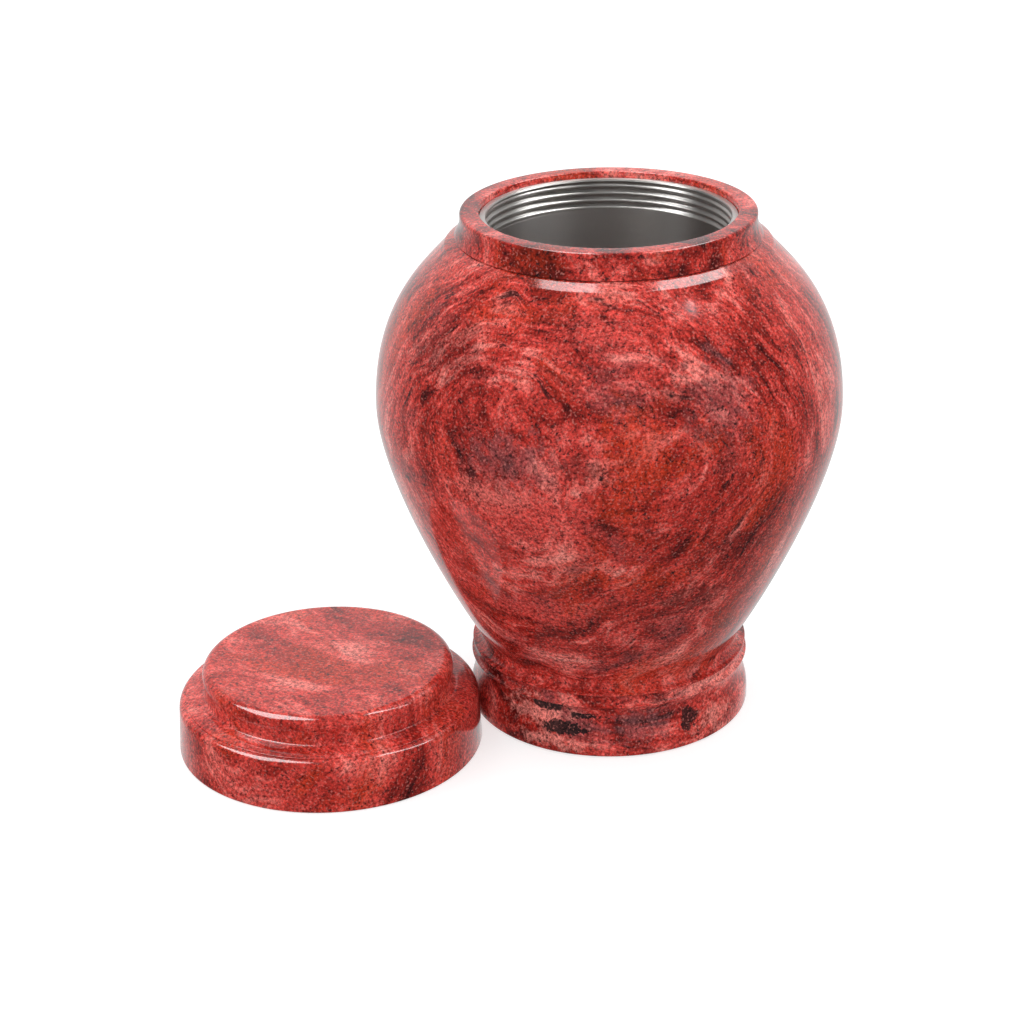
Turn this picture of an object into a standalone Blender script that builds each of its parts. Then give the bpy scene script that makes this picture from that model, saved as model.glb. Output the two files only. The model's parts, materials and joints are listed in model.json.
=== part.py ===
"""Cremation urn turned from polished red marbled stone, with its lid lying beside it.

The urn stands at the origin on its foot, +Z up.  From the floor up it is built of a foot,
a hollow body and a neck collar, each turned from its own block and bonded to the next.  A
threaded steel sleeve lines the mouth.  The lid lies flat on its rim, close to the foot.
Every outline is a half section: radius from the piece's own axis, height above its underside.
"""

import bpy
import bmesh
from math import cos, hypot, pi, radians, sin, sqrt

MM = 0.001

# All pieces
TURN_STEPS = 48                      # flats round every turned piece
EDGE_STEPS = 2                       # segments in a small rounded edge
MOULDING_STEPS = 4                   # segments in a hollow, a cove or a larger round
BELLY_STEPS = 9                      # segments in each half of the belly
WELD = 0.01 * MM                     # points closer than this are one point
GLUE_LINE = 0.3 * MM                 # joint between two bonded pieces
SMOOTH_BELOW = 30                    # degrees between faces that are shaded as one surface

# Mouth: one bore through the collar and the body's neck
MOUTH_RADIUS = 56.3 * MM

# Foot: a low drum with a waist, and a small bead that ends in an arris
FOOT_HEIGHT = 30.0 * MM
FOOT_RADIUS = 64.6 * MM
FOOT_EDGE_ROUND = 1.6 * MM
FOOT_BAND_TOP = 4.6 * MM             # the drum is upright up to here
FOOT_WAIST_DEPTH = 2.8 * MM          # the next three are set in from the foot's radius
FOOT_ARRIS_SET_IN = 0.7 * MM
FOOT_GROOVE_DEPTH = 2.9 * MM         # bottom of the groove under the body
FOOT_WAIST_HEIGHT = 21.0 * MM
FOOT_ARRIS_HEIGHT = 25.2 * MM
FOOT_ARRIS_LAND = 0.6 * MM           # upright face of the arris

# Body: hollow, widest a little above half height, on a thin lip over the foot's arris
BODY_HEIGHT = 194.3 * MM
BODY_LIP_SET_IN = 0.6 * MM           # from the foot's arris
BODY_LIP_LAND = 0.9 * MM
BODY_NECK_SET_IN = 3.7 * MM          # where the belly runs into the hollow, from the lip
BODY_NECK_RISE = 6.5 * MM
BODY_NECK_SLOPE = 55.5               # degrees from level
BODY_HOLLOW_PULL = 2.3 * MM          # how far the hollow keeps the slope of the belly
BODY_LIP_PULL = 3.8 * MM             # how far it keeps level at the lip
BELLY_RADIUS = 104.0 * MM
BELLY_RISE = 118.5 * MM
BELLY_LOWER_SPAN = (0.161, 0.286)    # pulls at the neck and at the belly, as shares of the rise
BELLY_UPPER_SPAN = (0.667, 0.143)    # pulls at the belly and at the shoulder
SHOULDER_SLOPE = 60.6                # degrees from level
LEDGE_WIDTH = 4.9 * MM               # flat facet from the collar's seat to the shoulder's arris
LEDGE_DROP = 3.1 * MM
BODY_WALL = 12.0 * MM
BODY_FLOOR = 13.0 * MM

# Neck collar: a flat ring that flares a little towards the body
COLLAR_HEIGHT = 11.1 * MM
COLLAR_WALL = 8.4 * MM               # at its top
COLLAR_FLARE = 2.5 * MM
COLLAR_OVERHANG = 0.6 * MM           # past the seat on the body
COLLAR_OUTER_ROUND = 1.3 * MM
COLLAR_INNER_ROUND = 0.7 * MM
COLLAR_FOOT_ROUND = 0.4 * MM

# Threaded sleeve: bonded into the mouth, a little below the rim
SLEEVE_CLEARANCE = 0.3 * MM
SLEEVE_WALL = 2.8 * MM               # out to the mouth from the crests of the thread
SLEEVE_RECESS = 2.8 * MM
SLEEVE_LENGTH = 33.0 * MM
SLEEVE_LIP = 0.9 * MM                # flat top edge
LEAD_IN = 1.5 * MM                   # tapered start above the thread
THREAD_PITCH = 3.4 * MM
THREAD_TURNS = 4
THREAD_DEPTH = 1.2 * MM
THREAD_ROWS = 4                      # rows of points to one pitch

# Lid: a flat disc on a stepped skirt
LID_OVERHANG = 1.6 * MM              # past the base of the collar
LID_FOOT_ROUND = 0.8 * MM
LID_SKIRT_TAPER = 1.0 * MM
LID_SKIRT_HEIGHT = 20.2 * MM
LID_SHOULDER_WIDTH = 3.2 * MM
LID_SHOULDER_RISE = 4.1 * MM
LID_FILLET = 0.5 * MM
LID_LEDGE_WIDTH = 6.0 * MM
LID_LEDGE_RISE = 1.6 * MM
LID_COVE_WIDTH = 2.8 * MM
LID_COVE_RISE = 6.2 * MM
LID_DISC_ROUND = 4.4 * MM
LID_DISC_UNDERCUT = 35               # degrees that the disc's edge turns in below its widest
LID_GAP = 1.0 * MM                   # from the skirt to the urn's foot
LID_BEARING = 199.5                  # degrees round the urn, from +X

# Radii that follow from the mouth and the foot
COLLAR_TOP_RADIUS = MOUTH_RADIUS + COLLAR_WALL
COLLAR_BASE_RADIUS = COLLAR_TOP_RADIUS + COLLAR_FLARE
SEAT_RADIUS = COLLAR_BASE_RADIUS - COLLAR_OVERHANG
LID_RADIUS = COLLAR_BASE_RADIUS + LID_OVERHANG
FOOT_ARRIS_RADIUS = FOOT_RADIUS - FOOT_ARRIS_SET_IN
BODY_LIP_RADIUS = FOOT_ARRIS_RADIUS - BODY_LIP_SET_IN

# Heights of the stacked pieces above the floor
BODY_Z = FOOT_HEIGHT + GLUE_LINE
COLLAR_Z = BODY_Z + BODY_HEIGHT + GLUE_LINE
RIM_Z = COLLAR_Z + COLLAR_HEIGHT
SLEEVE_Z = RIM_Z - SLEEVE_RECESS - SLEEVE_LENGTH


def arc(centre, reach_r, reach_z, start, end, steps):
    """Points round part of an ellipse, from start to end in degrees."""
    points = []
    for step in range(steps + 1):
        angle = radians(start + (end - start) * step / steps)
        points.append((centre[0] + reach_r * cos(angle), centre[1] + reach_z * sin(angle)))
    return points


def curve(start, pull_start, pull_end, end, steps):
    """Points of a cubic curve between two points, without its first one."""
    corners = (start, pull_start, pull_end, end)
    points = []
    for step in range(1, steps + 1):
        t = step / steps
        weights = ((1 - t) ** 3, 3 * t * (1 - t) ** 2, 3 * t * t * (1 - t), t ** 3)
        points.append(tuple(sum(w * c[k] for w, c in zip(weights, corners)) for k in (0, 1)))
    return points


def along(point, slope, distance):
    """The point that lies a distance further up a slope, in degrees from level."""
    return (point[0] + distance * cos(radians(slope)), point[1] + distance * sin(radians(slope)))


def set_in(outline, depth):
    """The same outline moved in by a wall's thickness; it runs up the outside."""
    moved = []
    for before, (r, z), after in zip(outline, outline[1:], outline[2:]):
        run_r, run_z = after[0] - before[0], after[1] - before[1]
        length = hypot(run_r, run_z)
        moved.append((r - depth * run_z / length, z + depth * run_r / length))
    return moved


def radius_at(outline, height):
    """Radius of a rising outline at one height."""
    for (r_low, z_low), (r_high, z_high) in zip(outline, outline[1:]):
        if z_low <= height <= z_high:
            return r_low + (r_high - r_low) * (height - z_low) / (z_high - z_low)
    return outline[-1][0]


def surface(name, colour, roughness, metallic):
    material = bpy.data.materials.new(name)
    material.use_nodes = True
    shader = material.node_tree.nodes["Principled BSDF"]
    shader.inputs["Base Color"].default_value = (*colour, 1.0)
    shader.inputs["Roughness"].default_value = roughness
    shader.inputs["Metallic"].default_value = metallic
    return material


def polished_stone(name, colour):
    return surface(name, colour, roughness=0.12, metallic=0.0)


def add_piece(name, bm, material, location, urn):
    """Turn a finished bmesh into a named object under the urn's empty."""
    bmesh.ops.remove_doubles(bm, verts=bm.verts, dist=WELD)
    bmesh.ops.recalc_face_normals(bm, faces=bm.faces)
    mesh = bpy.data.meshes.new(name)
    bm.to_mesh(mesh)
    bm.free()
    mesh.shade_smooth()
    mesh.set_sharp_from_angle(angle=radians(SMOOTH_BELOW))
    mesh.materials.append(material)
    piece = bpy.data.objects.new(name, mesh)
    piece.location = location
    piece.parent = urn
    bpy.context.scene.collection.objects.link(piece)


def turned(outline, closed=False):
    """Spin a half section round the Z axis."""
    bm = bmesh.new()
    points = [bm.verts.new((r, 0.0, z)) for r, z in outline]
    lines = [bm.edges.new(pair) for pair in zip(points, points[1:])]
    if closed:
        lines.append(bm.edges.new((points[-1], points[0])))
    bmesh.ops.spin(bm, geom=points + lines, cent=(0, 0, 0), axis=(0, 0, 1),
                   angle=2 * pi, steps=TURN_STEPS, use_merge=True)
    return bm


def foot_outline():
    waist_radius = FOOT_RADIUS - FOOT_WAIST_DEPTH
    groove_radius = FOOT_RADIUS - FOOT_GROOVE_DEPTH
    edge_centre = (FOOT_RADIUS - FOOT_EDGE_ROUND, FOOT_EDGE_ROUND)
    band_top = (FOOT_RADIUS, FOOT_BAND_TOP)
    waist = (waist_radius, FOOT_WAIST_HEIGHT)
    half_way = (FOOT_BAND_TOP + FOOT_WAIST_HEIGHT) / 2
    arris_low = (FOOT_ARRIS_RADIUS, FOOT_ARRIS_HEIGHT - FOOT_ARRIS_LAND)
    arris_high = (FOOT_ARRIS_RADIUS, FOOT_ARRIS_HEIGHT)
    groove = (groove_radius, FOOT_HEIGHT)

    outline = [(0.0, 0.0)]
    outline += arc(edge_centre, FOOT_EDGE_ROUND, FOOT_EDGE_ROUND, -90, 0, EDGE_STEPS)
    outline.append(band_top)
    outline += curve(band_top, (FOOT_RADIUS, half_way), (waist_radius, half_way), waist,
                     MOULDING_STEPS)
    outline += curve(waist, (waist_radius, arris_low[1]), arris_low, arris_low, MOULDING_STEPS)
    outline.append(arris_high)
    outline += curve(arris_high, (groove_radius, FOOT_ARRIS_HEIGHT), groove, groove,
                     MOULDING_STEPS)
    outline.append((0.0, FOOT_HEIGHT))
    return outline


def body_outside():
    """The body's outer side, from the edge of its underside up to the collar's seat."""
    lip = (BODY_LIP_RADIUS, BODY_LIP_LAND)
    neck = (BODY_LIP_RADIUS - BODY_NECK_SET_IN, BODY_NECK_RISE)
    belly = (BELLY_RADIUS, BELLY_RISE)
    shoulder = (SEAT_RADIUS + LEDGE_WIDTH, BODY_HEIGHT - LEDGE_DROP)
    neck_pull, low_pull = [share * (belly[1] - neck[1]) for share in BELLY_LOWER_SPAN]
    high_pull, shoulder_pull = [share * (shoulder[1] - belly[1]) for share in BELLY_UPPER_SPAN]

    outline = [(BODY_LIP_RADIUS, 0.0), lip]
    outline += curve(lip, (lip[0] - BODY_LIP_PULL, lip[1]),
                     along(neck, BODY_NECK_SLOPE, -BODY_HOLLOW_PULL), neck, MOULDING_STEPS)
    outline += curve(neck, along(neck, BODY_NECK_SLOPE, neck_pull),
                     (belly[0], belly[1] - low_pull), belly, BELLY_STEPS)
    outline += curve(belly, (belly[0], belly[1] + high_pull),
                     along(shoulder, -SHOULDER_SLOPE, shoulder_pull), shoulder, BELLY_STEPS)
    outline.append((SEAT_RADIUS, BODY_HEIGHT))
    return outline


def body_inside():
    """The hollow, from the mouth down to the middle of the floor."""
    roof = SLEEVE_Z - BODY_Z
    wall = set_in(body_outside(), BODY_WALL)
    side = [point for point in wall if BODY_FLOOR < point[1] < roof]
    outline = [(MOUTH_RADIUS, BODY_HEIGHT), (MOUTH_RADIUS, roof), (radius_at(wall, roof), roof)]
    outline += side[::-2]                # the rough inside needs half the points
    outline += [(radius_at(wall, BODY_FLOOR), BODY_FLOOR), (0.0, BODY_FLOOR)]
    return outline


def collar_outline():
    side_low = (COLLAR_BASE_RADIUS, COLLAR_FOOT_ROUND)
    side_high = (COLLAR_TOP_RADIUS, COLLAR_HEIGHT - COLLAR_OUTER_ROUND)
    side_pull = (COLLAR_TOP_RADIUS, (side_low[1] + side_high[1]) / 2)
    outer_centre = (COLLAR_TOP_RADIUS - COLLAR_OUTER_ROUND, side_high[1])
    inner_centre = (MOUTH_RADIUS + COLLAR_INNER_ROUND, COLLAR_HEIGHT - COLLAR_INNER_ROUND)

    outline = [(MOUTH_RADIUS, 0.0), (COLLAR_BASE_RADIUS - COLLAR_FOOT_ROUND, 0.0), side_low]
    outline += curve(side_low, side_pull, side_pull, side_high, MOULDING_STEPS)
    outline += arc(outer_centre, COLLAR_OUTER_ROUND, COLLAR_OUTER_ROUND, 0, 90, EDGE_STEPS)[1:]
    outline += arc(inner_centre, COLLAR_INNER_ROUND, COLLAR_INNER_ROUND, 90, 180, EDGE_STEPS)
    return outline


def lid_outline():
    foot_centre = (LID_RADIUS - LID_FOOT_ROUND, LID_FOOT_ROUND)
    shoulder_centre = (LID_RADIUS - LID_SKIRT_TAPER - LID_SHOULDER_WIDTH, LID_SKIRT_HEIGHT)
    fillet = (shoulder_centre[0], LID_SKIRT_HEIGHT + LID_SHOULDER_RISE + LID_FILLET)
    ledge = (fillet[0] - LID_LEDGE_WIDTH, fillet[1] + LID_LEDGE_RISE)
    cove = (ledge[0] - LID_COVE_WIDTH, ledge[1] + LID_COVE_RISE)
    disc_centre = along(cove, 180 - LID_DISC_UNDERCUT, LID_DISC_ROUND)

    outline = [(0.0, 0.0)]
    outline += arc(foot_centre, LID_FOOT_ROUND, LID_FOOT_ROUND, -90, 0, EDGE_STEPS)
    outline += arc(shoulder_centre, LID_SHOULDER_WIDTH, LID_SHOULDER_RISE, 0, 90, MOULDING_STEPS)
    outline += [fillet, ledge]
    outline += curve(ledge, (cove[0], ledge[1]), (cove[0], ledge[1]), cove, MOULDING_STEPS)
    outline += arc(disc_centre, LID_DISC_ROUND, LID_DISC_ROUND, -LID_DISC_UNDERCUT, 90,
                   MOULDING_STEPS)[1:]
    outline.append((0.0, disc_centre[1] + LID_DISC_ROUND))
    return outline


def thread_depth(drop, turn):
    """Depth of the groove at a drop below the thread's start and a share of a turn."""
    fade = sqrt(max(0.0, sin(pi * drop / (THREAD_TURNS * THREAD_PITCH))))
    return THREAD_DEPTH * fade * (1 - cos(2 * pi * (drop / THREAD_PITCH + turn))) / 2


def sleeve_mesh():
    """The sleeve as a grid of points, so that its thread is a true helix."""
    outer = MOUTH_RADIUS - SLEEVE_CLEARANCE
    crest = outer - SLEEVE_WALL
    plain = [(0.0, crest), (0.0, outer), (SLEEVE_LENGTH, outer),
             (SLEEVE_LENGTH, outer - SLEEVE_LIP)]
    rows = [(height, [radius] * TURN_STEPS) for height, radius in plain]
    for row in range(THREAD_TURNS * THREAD_ROWS + 1):
        drop = row * THREAD_PITCH / THREAD_ROWS
        radii = [crest + thread_depth(drop, step / TURN_STEPS) for step in range(TURN_STEPS)]
        rows.append((SLEEVE_LENGTH - LEAD_IN - drop, radii))

    bm = bmesh.new()
    rings = []
    for height, radii in rows:
        ring = []
        for step, radius in enumerate(radii):
            angle = 2 * pi * step / TURN_STEPS
            ring.append(bm.verts.new((radius * cos(angle), radius * sin(angle), height)))
        rings.append(ring)
    for low, high in zip(rings, rings[1:] + rings[:1]):
        for step in range(TURN_STEPS):
            after = (step + 1) % TURN_STEPS
            bm.faces.new((low[step], low[after], high[after], high[step]))
    return bm


def lid_place():
    """Where the lid's centre lies on the floor, clear of the foot."""
    distance = max(FOOT_RADIUS, FOOT_ARRIS_RADIUS, BODY_LIP_RADIUS) + LID_GAP + LID_RADIUS
    return (distance * cos(radians(LID_BEARING)), distance * sin(radians(LID_BEARING)), 0)


def build():
    for old in list(bpy.data.objects):
        bpy.data.objects.remove(old)
    urn = bpy.data.objects.new("cremation_urn", None)
    bpy.context.scene.collection.objects.link(urn)

    foot_stone = polished_stone("foot_stone", (0.36, 0.060, 0.050))
    body_stone = polished_stone("body_stone", (0.40, 0.045, 0.045))
    collar_stone = polished_stone("collar_stone", (0.42, 0.060, 0.050))
    lid_stone = polished_stone("lid_stone", (0.44, 0.060, 0.055))
    steel = surface("turned_steel", (0.60, 0.60, 0.59), roughness=0.28, metallic=1.0)

    body = [(0.0, 0.0)] + body_outside() + body_inside()
    collar = turned(collar_outline(), closed=True)
    add_piece("foot", turned(foot_outline()), foot_stone, (0, 0, 0), urn)
    add_piece("urn_body", turned(body), body_stone, (0, 0, BODY_Z), urn)
    add_piece("neck_collar", collar, collar_stone, (0, 0, COLLAR_Z), urn)
    add_piece("threaded_sleeve", sleeve_mesh(), steel, (0, 0, SLEEVE_Z), urn)
    add_piece("lid", turned(lid_outline()), lid_stone, lid_place(), urn)


build()
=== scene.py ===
"""Looks of an open cremation urn of polished red granite, with its lid lying beside it.

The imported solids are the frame.  The sections below make the urn's pieces as they are put
together, foot first, and then the studio that they stand in.  Outlines are half sections in
millimetres: radius from the piece's own axis, and height above the floor.
"""

import json
from math import cos, hypot, pi, radians, sin, sqrt

import bmesh
import bpy
from mathutils import Matrix, Vector

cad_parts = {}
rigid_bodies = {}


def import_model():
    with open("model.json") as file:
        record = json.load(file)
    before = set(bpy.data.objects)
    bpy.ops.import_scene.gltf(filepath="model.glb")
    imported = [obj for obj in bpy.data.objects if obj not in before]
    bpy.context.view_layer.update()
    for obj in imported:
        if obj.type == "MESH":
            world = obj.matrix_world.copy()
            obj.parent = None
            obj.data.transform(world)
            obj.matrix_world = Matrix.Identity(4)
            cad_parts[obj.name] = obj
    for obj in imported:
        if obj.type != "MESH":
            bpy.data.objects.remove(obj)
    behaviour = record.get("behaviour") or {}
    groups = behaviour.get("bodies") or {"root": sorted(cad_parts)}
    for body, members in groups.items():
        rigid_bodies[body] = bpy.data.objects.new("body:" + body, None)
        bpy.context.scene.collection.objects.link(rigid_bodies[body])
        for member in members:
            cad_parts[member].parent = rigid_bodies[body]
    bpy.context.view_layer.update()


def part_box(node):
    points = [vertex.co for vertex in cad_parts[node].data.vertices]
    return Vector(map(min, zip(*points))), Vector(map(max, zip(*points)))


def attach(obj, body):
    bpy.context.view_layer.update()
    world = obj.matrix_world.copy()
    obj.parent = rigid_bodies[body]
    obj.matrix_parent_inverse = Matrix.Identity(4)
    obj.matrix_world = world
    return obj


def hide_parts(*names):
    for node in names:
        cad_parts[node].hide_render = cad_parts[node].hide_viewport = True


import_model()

# Foot: a low drum of polished granite with a waist and a bead that ends in an arris.  It is
# turned from a block of its own and glued under the body, so its pattern doesn't run on:
# it has a few ragged black patches among pale pink clouds.
LATHE_STEPS = 192                # facets round a piece, too many to see
CURVE_STEPS = 24
EASE_STEPS = 4
SMOOTH_BELOW = 32                # degrees; sharper edges stay crisp
FOLD_SIZE = 200                  # mm from the middle of the folds where a streak has its length
DRIFT = 80                       # mm, the most that the folds wander
DRIFT_SPAN = 95                  # mm along which they do so
CLOUD = 24                       # mm, a cloud that isn't drawn out
CLOUD_GAIN = 1.4                 # how much it lightens and darkens
FRAY = 7                         # mm, the tongues at a patch's edge
FRAY_GAIN = 3.4                  # how strongly they bend its outline
MOTTLE = 1.3                     # mm, the stone's ordinary grains
SALT = 1.0                       # mm, its pale grains
PEPPER = 2.0                     # mm, clusters of its dark grains
SMOOTH = {"interpolation_type": "SMOOTHSTEP"}
COLOUR = {"data_type": "RGBA"}


def linear(code, alpha=1.0):
    """An sRGB hex colour as linear light."""
    shares = [int(code[at:at + 2], 16) / 255 for at in (1, 3, 5)]
    return [s / 12.92 if s <= 0.04045 else ((s + 0.055) / 1.055) ** 2.4 for s in shares] + [alpha]


def add(tree, kind, settings, inputs, output=0):
    """Add a node with its settings, its values and its links, and give one of its outputs."""
    made = tree.nodes.new("ShaderNode" + kind)
    for name, value in settings.items():
        setattr(made, name, value)
    for name, value in inputs.items():
        if isinstance(value, bpy.types.NodeSocket):
            tree.links.new(value, made.inputs[name])
        else:
            made.inputs[name].default_value = value
    return made.outputs[output]


GARNET = linear("#4C0D0D")
CRIMSON = linear("#AC2B23")
ROSE = linear("#D94D46")
BLUSH = linear("#F18D82")
RUST = linear("#BC3517")
SMOKE = linear("#7E4A4C")
CHARCOAL = linear("#231719")


def polished_granite(name, fold, tone, beds, tints, patches=()):
    """Granite sawn across folded beds and polished to a gloss: clouds and streaks from garnet
    to rose that swirl round a point, fine dark and pale grains, and a hard clear shine.
    Tone is 0 for garnet and 1 for the palest rose, and beds of noise lighten and darken it: a
    bed is mm across and along the folds, seed, and how much it lightens and darkens.  A tint
    is its colour, mm across and along, seed, where it starts and is full, and its strength.
    A patch is its colour, its middle and radii in mm, the share of them where it is full, and
    its strength."""
    material = bpy.data.materials.new(name)
    material.use_nodes = True
    tree = material.node_tree
    place = add(tree, "TexCoord", {}, {}, "Object")
    mm = add(tree, "VectorMath", {"operation": "SCALE"}, {0: place, "Scale": 1000})
    drift = add(tree, "TexNoise", {}, {"Vector": mm, "Scale": 1 / DRIFT_SPAN, "Detail": 3},
                "Color")
    bent = add(tree, "VectorMath", {"operation": "MULTIPLY_ADD"},
               {0: drift, 1: [DRIFT] * 3, 2: mm})
    middle = Vector(fold) + Vector([DRIFT / 2] * 3)
    away = add(tree, "VectorMath", {"operation": "SUBTRACT"}, {0: bent, 1: middle})
    ring = add(tree, "VectorMath", {"operation": "LENGTH"}, {0: away}, "Value")
    bearing = add(tree, "VectorMath", {"operation": "NORMALIZE"}, {0: away})

    # Each bed and tint is noise drawn out along the folds
    for across, along, seed, strength in beds:
        turn = add(tree, "VectorMath", {"operation": "SCALE"},
                   {0: bearing, "Scale": FOLD_SIZE / along})
        depth = add(tree, "Math", {"operation": "MULTIPLY_ADD"}, {0: ring, 1: 1 / across, 2: seed})
        streak = add(tree, "TexNoise", {"noise_dimensions": "4D"},
                     {"Vector": turn, "W": depth, "Scale": 1, "Detail": 2.5, "Roughness": 0.6})
        level = add(tree, "Math", {"operation": "SUBTRACT"}, {0: streak, 1: 0.5})
        tone = add(tree, "Math", {"operation": "MULTIPLY_ADD"}, {0: level, 1: strength, 2: tone})
    cloud = add(tree, "TexNoise", {}, {"Vector": bent, "Scale": 1 / CLOUD, "Detail": 3})
    level = add(tree, "Math", {"operation": "SUBTRACT"}, {0: cloud, 1: 0.5})
    tone = add(tree, "Math", {"operation": "MULTIPLY_ADD"}, {0: level, 1: CLOUD_GAIN, 2: tone})
    stone = GARNET
    for colour, start, full in ((CRIMSON, 0.0, 0.42), (ROSE, 0.38, 0.82), (BLUSH, 0.68, 1.2)):
        share = add(tree, "MapRange", {}, {"Value": tone, "From Min": start, "From Max": full})
        stone = add(tree, "Mix", COLOUR, {0: share, 6: stone, 7: colour}, 2)
    for colour, across, along, seed, start, full, strength in tints:
        turn = add(tree, "VectorMath", {"operation": "SCALE"},
                   {0: bearing, "Scale": FOLD_SIZE / along})
        depth = add(tree, "Math", {"operation": "MULTIPLY_ADD"}, {0: ring, 1: 1 / across, 2: seed})
        streak = add(tree, "TexNoise", {"noise_dimensions": "4D"},
                     {"Vector": turn, "W": depth, "Scale": 1, "Detail": 4, "Roughness": 0.62})
        share = add(tree, "MapRange", SMOOTH,
                    {"Value": streak, "From Min": start, "From Max": full, "To Max": strength})
        stone = add(tree, "Mix", COLOUR, {0: share, 6: stone, 7: colour}, 2)
    fray = add(tree, "TexNoise", {}, {"Vector": mm, "Scale": 1 / FRAY, "Detail": 4,
                                      "Roughness": 0.8})
    fray = add(tree, "Math", {"operation": "SUBTRACT"}, {0: fray, 1: 0.5})
    for colour, spot, radii, core, strength in patches:
        off = add(tree, "VectorMath", {"operation": "SUBTRACT"}, {0: mm, 1: spot})
        scaled = add(tree, "VectorMath", {"operation": "DIVIDE"}, {0: off, 1: radii})
        reach = add(tree, "VectorMath", {"operation": "LENGTH"}, {0: scaled}, "Value")
        reach = add(tree, "Math", {"operation": "MULTIPLY_ADD"},
                    {0: fray, 1: FRAY_GAIN, 2: reach})
        share = add(tree, "MapRange", SMOOTH,
                    {"Value": reach, "From Min": 1, "From Max": core, "To Max": strength})
        stone = add(tree, "Mix", COLOUR, {0: share, 6: stone, 7: colour}, 2)

    # Grains of 1 to 2 mm: a mottle, pale ones, and dark ones that keep together
    mottle = add(tree, "TexNoise", {}, {"Vector": mm, "Scale": 1 / MOTTLE, "Detail": 2,
                                        "Roughness": 0.7})
    brightness = add(tree, "MapRange", {"clamp": False},
                     {"Value": mottle, "From Min": 0.35, "From Max": 0.65,
                      "To Min": 0.45, "To Max": 1.55})
    stone = add(tree, "HueSaturation", {}, {"Value": brightness, "Color": stone})
    salt = add(tree, "TexNoise", {"noise_dimensions": "4D"},
               {"Vector": mm, "W": 3, "Scale": 1 / SALT, "Detail": 0})
    share = add(tree, "MapRange", SMOOTH,
                {"Value": salt, "From Min": 0.56, "From Max": 0.8, "To Max": 0.4})
    stone = add(tree, "Mix", COLOUR, {0: share, 6: stone, 7: BLUSH}, 2)
    pepper = add(tree, "TexNoise", {"noise_dimensions": "4D"},
                 {"Vector": mm, "W": 7, "Scale": 1 / PEPPER, "Detail": 2, "Roughness": 0.85})
    share = add(tree, "MapRange", SMOOTH,
                {"Value": pepper, "From Min": 0.57, "From Max": 0.68, "To Max": 0.85})
    stone = add(tree, "Mix", COLOUR, {0: share, 6: stone, 7: CHARCOAL}, 2)

    shader = tree.nodes["Principled BSDF"]
    tree.links.new(stone, shader.inputs["Base Color"])
    shader.inputs["Roughness"].default_value = 0.12
    shader.inputs["IOR"].default_value = 1.54
    return material


def arc(centre, reach_r, reach_z, start, end, steps=CURVE_STEPS):
    """Points round part of an ellipse, from start to end in degrees."""
    angles = [radians(start + (end - start) * step / steps) for step in range(steps + 1)]
    return [(centre[0] + reach_r * cos(a), centre[1] + reach_z * sin(a)) for a in angles]


def curve(start, pull_start, pull_end, end, steps=CURVE_STEPS):
    """Points of a cubic curve between two points."""
    points = []
    for step in range(steps + 1):
        t = step / steps
        weights = ((1 - t) ** 3, 3 * t * (1 - t) ** 2, 3 * t * t * (1 - t), t ** 3)
        corners = (start, pull_start, pull_end, end)
        points.append(tuple(sum(w * c[k] for w, c in zip(weights, corners)) for k in (0, 1)))
    return points


def eased(before, corner, after, cut):
    """A corner of an outline rounded off, a cut's length back from it on both sides."""
    corner = Vector(corner)
    start = corner + (Vector(before) - corner).normalized() * cut
    end = corner + (Vector(after) - corner).normalized() * cut
    steps = [step / EASE_STEPS for step in range(EASE_STEPS + 1)]
    return [tuple(start.lerp(corner, t).lerp(corner.lerp(end, t), t)) for t in steps]


def turned(name, outline, base_z, axis=(0, 0), closed=False):
    """Turn an outline into a piece round an upright axis, with its underside at a height."""
    bm = bmesh.new()
    points = [bm.verts.new((r / 1000, 0, z / 1000)) for r, z in outline]
    lines = [bm.edges.new(pair) for pair in zip(points, points[1:])]
    if closed:
        lines.append(bm.edges.new((points[-1], points[0])))
    bmesh.ops.spin(bm, geom=points + lines, cent=(0, 0, 0), axis=(0, 0, 1),
                   angle=2 * pi, steps=LATHE_STEPS, use_merge=True)
    bmesh.ops.remove_doubles(bm, verts=bm.verts, dist=0.000002)
    bmesh.ops.recalc_face_normals(bm, faces=bm.faces)
    bmesh.ops.translate(bm, verts=bm.verts, vec=(axis[0], axis[1], base_z))
    mesh = bpy.data.meshes.new(name)
    bm.to_mesh(mesh)
    bm.free()
    mesh.shade_smooth()
    mesh.set_sharp_from_angle(angle=radians(SMOOTH_BELOW))
    piece = bpy.data.objects.new(name, mesh)
    bpy.context.scene.collection.objects.link(piece)
    return piece


FOOT_EDGE = 1.6
foot_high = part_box("foot")[1]
foot_r = foot_high.x * 1000
foot_h = foot_high.z * 1000
waist = (foot_r - 2.8, 21.0)
band_top = (foot_r, 4.6)
half_way = (band_top[1] + waist[1]) / 2
arris_r = foot_r - 0.7
arris = (arris_r, 25.2)
groove = (foot_r - 2.9, foot_h)
outline = [(0, 0)]
outline += arc((foot_r - FOOT_EDGE, FOOT_EDGE), FOOT_EDGE, FOOT_EDGE, -90, 0, 8)
outline += curve(band_top, (foot_r, half_way), (waist[0], half_way), waist)
outline += curve(waist, (waist[0], 24.6), (arris_r, 24.6), (arris_r, 24.6), 8)[1:-1]
outline += eased((arris_r, 24.2), arris, (arris_r - 1, 25.2), 0.35)
outline += curve((arris_r - 0.35, 25.2), (groove[0], 25.25), groove, groove, 8)[1:]
outline.append((0, foot_h))
foot = turned("granite_foot", outline, 0)
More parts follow.
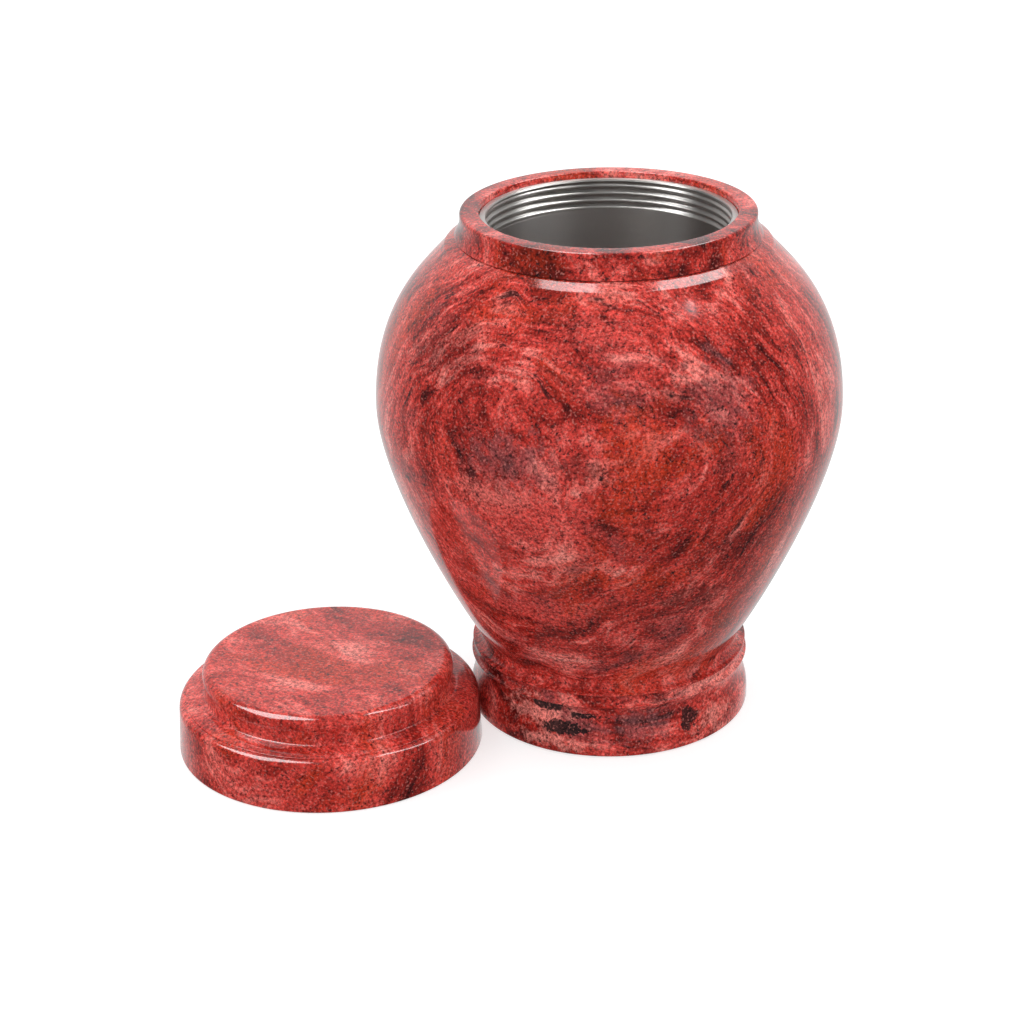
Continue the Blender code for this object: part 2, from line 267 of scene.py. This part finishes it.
foot.data.materials.append(polished_granite("foot_granite", (30, -60, 330), 0.52, [
    (26, 60, 3.1, 2.6),
    (9, 26, 12.4, 2.3),
    (2.5, 8, 8.7, 1.2),
], [
    (SMOKE, 16, 40, 18.7, 0.50, 0.66, 0.6),
    (CHARCOAL, 4, 16, 21.9, 0.60, 0.66, 0.7),
], [
    (BLUSH, (-30, -54, 18), (24, 20, 9), 0.2, 0.75),
    (BLUSH, (-24, -57, 6), (24, 20, 5), 0.2, 0.7),
    (SMOKE, (14, -61, 14), (16, 20, 9), 0.3, 0.6),
    (BLUSH, (48, -40, 10), (14, 20, 10), 0.2, 0.6),
    (CHARCOAL, (-27, -56, 22), (9, 14, 2.3), 0.8, 0.95),
    (CHARCOAL, (-19, -60, 13), (11, 14, 3.6), 0.8, 0.95),
    (CHARCOAL, (-10, -61, 19), (7, 14, 1.8), 0.8, 0.95),
    (CHARCOAL, (36, -52, 14), (4, 14, 5), 0.8, 0.9),
]))
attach(foot, "root")
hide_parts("foot")

# Body: the hollow vessel of granite, turned from one block, polished outside and bored out.
# Its beds are folded round a point in front of the belly, so that arcs of colour run round it.
# The bore isn't polished, so inside it the stone is paler, greyer and dull.
NECK_SLOPE = 55.5                # degrees from level, where the belly leaves the hollow
SHOULDER_SLOPE = 60.6
BODY_STEPS = 48
WALL = 12.0
HOLLOW_FLOOR = 13.0
GLUE_GAP = 0.3
BORE_GRAIN = 2.5                 # mm, drawn coarser than the outside's grains, to show in its shade


def along(point, slope, distance):
    """The point that lies a distance further up a slope, in degrees from level."""
    return (point[0] + distance * cos(radians(slope)), point[1] + distance * sin(radians(slope)))


def set_in(outline, depth):
    """An outline that runs up the outside, moved in by a wall's thickness."""
    moved = []
    for before, (r, z), after in zip(outline, outline[1:], outline[2:]):
        run_r, run_z = after[0] - before[0], after[1] - before[1]
        length = hypot(run_r, run_z)
        moved.append((r - depth * run_z / length, z + depth * run_r / length))
    return moved


body_low, body_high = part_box("urn_body")
collar_low, collar_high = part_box("neck_collar")
sleeve_low, sleeve_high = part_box("threaded_sleeve")
body_h = (body_high.z - body_low.z) * 1000
belly = (body_high.x * 1000, 118.5)
collar_base = collar_high.x * 1000
mouth_r = sleeve_high.x * 1000 + GLUE_GAP
lip_r = arris_r - 0.6
lip = (lip_r, 0.9)
neck = (lip_r - 3.7, 6.5)
seat_r = collar_base - 0.6
shoulder = (seat_r + 4.9, body_h - 3.1)
lower_rise = belly[1] - neck[1]
upper_rise = shoulder[1] - belly[1]
outside = eased((lip_r - 1, 0), (lip_r, 0), lip, 0.25)
outside += eased((lip_r, 0), lip, (lip_r - 1, 0.9), 0.4)
outside += curve(outside[-1], (lip_r - 3.8, 0.9), along(neck, NECK_SLOPE, -2.3), neck, 12)[1:]
outside += curve(neck, along(neck, NECK_SLOPE, 0.161 * lower_rise),
                 (belly[0], belly[1] - 0.286 * lower_rise), belly, BODY_STEPS)[1:]
outside += curve(belly, (belly[0], belly[1] + 0.667 * upper_rise),
                 along(shoulder, -SHOULDER_SLOPE, 0.143 * upper_rise), shoulder, BODY_STEPS)[1:-1]
outside += eased(outside[-1], shoulder, (seat_r, body_h), 0.5)
outside.append((seat_r, body_h))
roof = (sleeve_low.z - body_low.z) * 1000
wall = set_in(outside, WALL)
side = [point for point in wall if HOLLOW_FLOOR < point[1] < roof]
inside = [(mouth_r, body_h), (mouth_r, roof), (side[-1][0], roof)] + side[::-1]
inside += [(side[0][0], HOLLOW_FLOOR), (0, HOLLOW_FLOOR)]
body = turned("granite_body", [(0, 0)] + outside + inside, body_low.z)
body.data.materials.append(polished_granite("body_granite", (-58, -240, 152), 0.5, [
    (28, 60, 1.3, 1.4),
    (9, 46, 11.2, 1.7),
    (3.2, 20, 27.1, 1.35),
    (1.3, 7, 41.6, 1.1),
], [
    (RUST, 30, 50, 5.9, 0.50, 0.66, 0.6),
    (SMOKE, 18, 50, 17.3, 0.54, 0.70, 0.55),
    (CHARCOAL, 3, 16, 33.7, 0.60, 0.68, 0.85),
], [
    (ROSE, (-38, -85, 138), (40, 40, 19), 0.3, 0.85),
    (BLUSH, (-44, -80, 140), (26, 40, 12), 0.2, 0.35),
    (SMOKE, (-37, -90, 157), (24, 40, 16), 0.3, 0.55),
    (RUST, (12, -98, 160), (22, 40, 32), 0.3, 0.6),
    (RUST, (14, -80, 100), (28, 40, 12), 0.3, 0.5),
    (GARNET, (52, -75, 112), (30, 40, 11), 0.3, 0.55),
    (SMOKE, (44, -80, 180), (18, 40, 24), 0.3, 0.5),
    (ROSE, (-30, -70, 80), (32, 40, 12), 0.3, 0.75),
    (ROSE, (-3, -80, 208), (26, 30, 12), 0.3, 0.6),
    (ROSE, (52, -83, 155), (14, 40, 12), 0.3, 0.4),
    (ROSE, (-20, -90, 128), (40, 40, 14), 0.3, 0.6),
    (CRIMSON, (34, -90, 136), (24, 40, 16), 0.3, 0.6),
    (CRIMSON, (28, -75, 84), (50, 40, 18), 0.3, 0.5),
    (GARNET, (0, -70, 198), (22, 30, 10), 0.3, 0.4),
    (GARNET, (28, -83, 184), (22, 40, 12), 0.3, 0.4),
    (GARNET, (-10, -95, 156), (20, 40, 9), 0.3, 0.5),
    (GARNET, (-66, -63, 194), (26, 40, 16), 0.3, 0.55),
    (GARNET, (33, -66, 86), (24, 40, 12), 0.3, 0.6),
]))
bored = bpy.data.materials.new("bored_granite")
bored.use_nodes = True
tree = bored.node_tree
place = add(tree, "TexCoord", {}, {}, "Object")
grain = add(tree, "TexNoise", {}, {"Vector": place, "Scale": 1000 / BORE_GRAIN, "Detail": 3})
share = add(tree, "MapRange", {}, {"Value": grain, "From Min": 0.25, "From Max": 0.75})
stone = add(tree, "Mix", COLOUR, {0: share, 6: linear("#6E4E4A"), 7: linear("#A07E78")}, 2)
tree.links.new(stone, tree.nodes["Principled BSDF"].inputs["Base Color"])
tree.nodes["Principled BSDF"].inputs["Roughness"].default_value = 0.8
body.data.materials.append(bored)
for face in body.data.polygons:
    level = abs(face.normal.z) > 0.99 and face.center.z > body_low.z + (HOLLOW_FLOOR - 1) / 1000
    if level or face.center.xy.dot(face.normal.xy) < 0:
        face.material_index = 1
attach(body, "root")
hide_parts("urn_body")

# Neck collar: a flat ring of the same granite that covers the glued end of the sleeve.  It
# flares a little towards the body and stands just past its seat, so its lower edge shows
# a fine dark joint.
collar_h = (collar_high.z - collar_low.z) * 1000
collar_top = collar_base - 2.5
side_high = (collar_top, collar_h - 1.3)
side_pull = (collar_top, (0.4 + side_high[1]) / 2)
outline = [(mouth_r, 0)] + arc((collar_base - 0.4, 0.4), 0.4, 0.4, -90, 0, 6)
outline += curve((collar_base, 0.4), side_pull, side_pull, side_high, 16)[1:-1]
outline += arc((collar_top - 1.3, side_high[1]), 1.3, 1.3, 0, 90, 8)
outline += arc((mouth_r + 0.7, collar_h - 0.7), 0.7, 0.7, 90, 180, 6)
collar = turned("granite_collar", outline, collar_low.z, closed=True)
collar.data.materials.append(polished_granite("collar_granite", (40, -60, 330), 0.46, [
    (20, 50, 4.2, 1.8),
    (8, 26, 15.6, 1.6),
    (2.2, 7, 9.4, 1.1),
], [
    (RUST, 24, 50, 9.4, 0.50, 0.64, 0.6),
    (CHARCOAL, 4, 14, 24.8, 0.62, 0.70, 0.85),
]))
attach(collar, "root")
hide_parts("neck_collar")

# Threaded sleeve: stainless steel, turned and screw-cut on a lathe and glued into the mouth
# a little below the rim.  Its tool marks run round it, so they draw the lights out into bright
# upright bands across the thread.
SLEEVE_STEPS = 256
THREAD_PITCH = 3.4
THREAD_TURNS = 4
THREAD_DEPTH = 1.2
FLANK_GAIN = 1.2                 # how much steeper the flanks are than a wave's
THREAD_ROWS = 18
THREAD_FADE = 6                  # it runs in over a sixth of its length, and out over another
LEAD_IN = 0.7
RUN_OUT = 0.3
CREST_WALL = 2.8                 # from the sleeve's outside to the thread's crests
MOUTH_BEVEL = 0.4
MARK_GAP = 0.25                  # mm between tool marks, coarser than fine turning leaves, to show
MARK_LENGTH = 33.3               # mm that a mark runs before its shine changes


def thread_depth(drop, turn):
    """Depth of the groove at a drop below the thread's start and a share of a turn."""
    run = drop / (THREAD_TURNS * THREAD_PITCH)
    fade = min(1, THREAD_FADE * run, THREAD_FADE * (1 - run))
    wave = -cos(2 * pi * (drop / THREAD_PITCH + turn))
    flank = wave * sqrt((1 + FLANK_GAIN ** 2) / (1 + (FLANK_GAIN * wave) ** 2))
    return THREAD_DEPTH * fade * (1 + flank) / 2


sleeve_h = (sleeve_high.z - sleeve_low.z) * 1000
sleeve_r = sleeve_high.x * 1000
crest = sleeve_r - CREST_WALL
plain = [(0, crest), (0, sleeve_r), (sleeve_h, sleeve_r), (sleeve_h, crest + MOUTH_BEVEL)]
rows = [(height, [radius] * SLEEVE_STEPS) for height, radius in plain]
for row in range(THREAD_TURNS * THREAD_ROWS + 1):
    drop = row * THREAD_PITCH / THREAD_ROWS
    radii = [crest + thread_depth(drop, step / SLEEVE_STEPS) for step in range(SLEEVE_STEPS)]
    rows.append((sleeve_h - LEAD_IN - drop, radii))
rows.append((sleeve_h - LEAD_IN - drop - RUN_OUT, [crest] * SLEEVE_STEPS))
vertices = []
faces = []
for height, radii in rows:
    for step, radius in enumerate(radii):
        angle = 2 * pi * step / SLEEVE_STEPS
        vertices.append((radius * cos(angle) / 1000, radius * sin(angle) / 1000,
                         sleeve_low.z + height / 1000))
for row in range(len(rows)):
    above = (row + 1) % len(rows)
    for step in range(SLEEVE_STEPS):
        after = (step + 1) % SLEEVE_STEPS
        faces.append((row * SLEEVE_STEPS + step, row * SLEEVE_STEPS + after,
                      above * SLEEVE_STEPS + after, above * SLEEVE_STEPS + step))
mesh = bpy.data.meshes.new("steel_sleeve")
mesh.from_pydata(vertices, [], faces)
mesh.shade_smooth()
mesh.set_sharp_from_angle(angle=radians(SMOOTH_BELOW))
sleeve = bpy.data.objects.new("steel_sleeve", mesh)
bpy.context.scene.collection.objects.link(sleeve)
steel = bpy.data.materials.new("turned_stainless_steel")
steel.use_nodes = True
tree = steel.node_tree
place = add(tree, "TexCoord", {}, {}, "Object")
spread = (1000 / MARK_LENGTH, 1000 / MARK_LENGTH, 1000 / MARK_GAP)
ringed = add(tree, "VectorMath", {"operation": "MULTIPLY"}, {0: place, 1: spread})
marks = add(tree, "TexNoise", {}, {"Vector": ringed, "Scale": 1, "Detail": 4})
rough = add(tree, "MapRange", {}, {"Value": marks, "To Min": 0.28, "To Max": 0.4})
shader = tree.nodes["Principled BSDF"]
shader.inputs["Base Color"].default_value = linear("#C9C7C4")
shader.inputs["Metallic"].default_value = 1
shader.inputs["Anisotropic"].default_value = 0.8
shader.inputs["Anisotropic Rotation"].default_value = 0.25
tree.links.new(rough, shader.inputs["Roughness"])
round_axis = add(tree, "Tangent", {"direction_type": "RADIAL", "axis": "Z"}, {})
tree.links.new(round_axis, shader.inputs["Tangent"])
sleeve.data.materials.append(steel)
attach(sleeve, "root")
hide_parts("threaded_sleeve")

# Lid: one turned piece of the same granite, a flat disc on a stepped skirt.  It lies on its
# lower edge beside the foot.
lid_low, lid_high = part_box("lid")
lid_centre = (lid_low + lid_high) / 2
lid_r = (lid_high.x - lid_low.x) * 500
skirt = (lid_r - 1.0, 20.2)
shoulder_top = (skirt[0] - 3.2, 24.3)
fillet = (shoulder_top[0], 24.8)
ledge = (fillet[0] - 6.0, fillet[1] + 1.6)
cove = (ledge[0] - 2.8, ledge[1] + 6.2)
disc = along(cove, 145, 4.4)
outline = [(0, 0)] + arc((lid_r - 0.8, 0.8), 0.8, 0.8, -90, 0, 6)
outline += arc((shoulder_top[0], 20.2), 3.2, 4.1, 0, 90, 16)
outline += eased(shoulder_top, fillet, ledge, 0.2)
outline += curve(ledge, (cove[0], ledge[1]), (cove[0], ledge[1]), cove, 12)
outline += arc(disc, 4.4, 4.4, -35, 90, 20)[1:]
outline.append((0, disc[1] + 4.4))
lid = turned("granite_lid", outline, 0, axis=lid_centre.xy)
lid.data.materials.append(polished_granite("lid_granite", (-260, -260, 120), 0.59, [
    (24, 60, 6.6, 1.1),
    (9, 34, 19.5, 0.9),
    (2.4, 9, 2.8, 1.0),
], [
    (RUST, 22, 46, 12.8, 0.52, 0.66, 0.6),
    (CHARCOAL, 4, 20, 30.3, 0.66, 0.74, 0.7),
]))
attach(lid, "root")
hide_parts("lid")

# Studio: white paper without an edge, in soft white light from all round.  What is polished
# mirrors a bright wall behind the urn and a dark room in front of it, and a soft box on each
# side overhead, which gives the bright stripes on the urn's ledges.
BOX_LENGTH = 4.2                 # metres, as all sizes of the studio
BOX_BACK = 1.3
BOX_RISE = 4.1
scene = bpy.context.scene
scene.view_settings.view_transform = "Standard"
bpy.ops.mesh.primitive_circle_add(vertices=64, radius=6, fill_type="NGON",
                                  location=(0, 0, -0.0002))
floor = bpy.context.object
floor.name = "floor"
paper = bpy.data.materials.new("white_paper")
paper.use_nodes = True
shader = paper.node_tree.nodes["Principled BSDF"]
shader.inputs["Base Color"].default_value = linear("#C8C8C8")
shader.inputs["Roughness"].default_value = 0.9
shader.inputs["Specular IOR Level"].default_value = 0

# The paper gives off some light of its own, which keeps the shadows on it faint
shader.inputs["Emission Color"].default_value = (1, 1, 1, 1)
shader.inputs["Emission Strength"].default_value = 0.6
floor.data.materials.append(paper)
floor.visible_glossy = False
floor.visible_diffuse = False

# The wash from all round lights the colours, the shine is what polish and steel mirror, and the
# camera sees plain white
world = bpy.data.worlds.new("studio")
scene.world = world
world.use_nodes = True
tree = world.node_tree
way = add(tree, "TexCoord", {}, {}, "Generated")
back = add(tree, "SeparateXYZ", {}, {0: way}, "Y")
height = add(tree, "SeparateXYZ", {}, {0: way}, "Z")
wash = add(tree, "MapRange", {}, {"Value": height, "From Min": -0.5, "From Max": 1,
                                  "To Min": 0.45, "To Max": 1.5})
shine = add(tree, "MapRange", SMOOTH, {"Value": back, "From Min": 0.1, "From Max": 0.95,
                                       "To Min": 0.1, "To Max": 0.85})
glossy = add(tree, "LightPath", {}, {}, "Is Glossy Ray")
seen = add(tree, "LightPath", {}, {}, "Is Camera Ray")
strength = add(tree, "Mix", {}, {0: glossy, 2: wash, 3: shine})
strength = add(tree, "Mix", {}, {0: seen, 2: strength, 3: 1.0})
tree.links.new(strength, tree.nodes["Background"].inputs["Strength"])
tree.nodes["Background"].inputs["Color"].default_value = (1, 1, 1, 1)

# The overhead boxes light the urn without its lid, which has panels of its own
groups = {"urn": (foot, body, collar, sleeve), "mouth": (sleeve,), "cover": (lid,)}
for name, pieces in groups.items():
    group = bpy.data.collections.new(name)
    for piece in pieces:
        group.objects.link(piece)
urn, mouth, cover = (bpy.data.collections[name] for name in groups)
for name, x, width, power in (("left_box", -0.9, 1.3, 125), ("right_box", 1.95, 1.7, 165)):
    light = bpy.data.lights.new(name, "AREA")
    light.shape = "RECTANGLE"
    light.size = width
    light.size_y = BOX_LENGTH
    light.energy = power
    box = bpy.data.objects.new(name, light)
    box.location = (x, BOX_BACK, BOX_RISE)
    box.visible_diffuse = False
    box.light_linking.receiver_collection = urn
    scene.collection.objects.link(box)

# Panels: smaller soft boxes that light one piece alone.  Those for the steel give the bright
# bands on the thread, and those for the lid give the stripes round its steps.
for name, lit, place, size, power in (
        ("left_steel_panel", mouth, (-0.95, -0.17, 1.37), (0.5, 0.9), 10),
        ("right_steel_panel", mouth, (1.0, 0.12, 1.33), (0.5, 0.9), 10),
        ("front_steel_panel", mouth, (0, -0.61, 1.59), (0.5, 0.9), 1),
        ("left_lid_panel", cover, (-1.15, -0.33, 1.74), (1.5, 1.5), 75),
        ("right_lid_panel", cover, (1.1, 0.26, 1.59), (1.5, 1.5), 75)):
    light = bpy.data.lights.new(name, "AREA")
    light.shape = "RECTANGLE"
    light.size, light.size_y = size
    light.energy = power
    panel = bpy.data.objects.new(name, light)
    panel.location = place
    corners = lit.objects[0].bound_box
    aim = (Vector(corners[0]) + Vector(corners[6])) / 2
    panel.rotation_euler = (aim - panel.location).to_track_quat("-Z", "Y").to_euler()
    panel.visible_diffuse = False
    panel.light_linking.receiver_collection = lit
    panel.light_linking.blocker_collection = lit
    scene.collection.objects.link(panel)

# Camera: a short telephoto lens, above the urn and in front of it, turned a little to the
# left and held a degree off level, which is what fits the photograph.
CAMERA_PLACE = (0, -1.01172, 0.54253)
PAN = 2.502                      # degrees, as the next two
DIP = 23.990
ROLL = -1.0618
camera = bpy.data.objects.new("camera", bpy.data.cameras.new("camera"))
camera.data.lens = 85.12
camera.data.sensor_width = 36
camera.matrix_world = (Matrix.Translation(CAMERA_PLACE)
                       @ Matrix.Rotation(radians(PAN), 4, "Z")
                       @ Matrix.Rotation(radians(90 - DIP), 4, "X")
                       @ Matrix.Rotation(radians(ROLL), 4, "Z"))
scene.collection.objects.link(camera)
scene.camera = camera
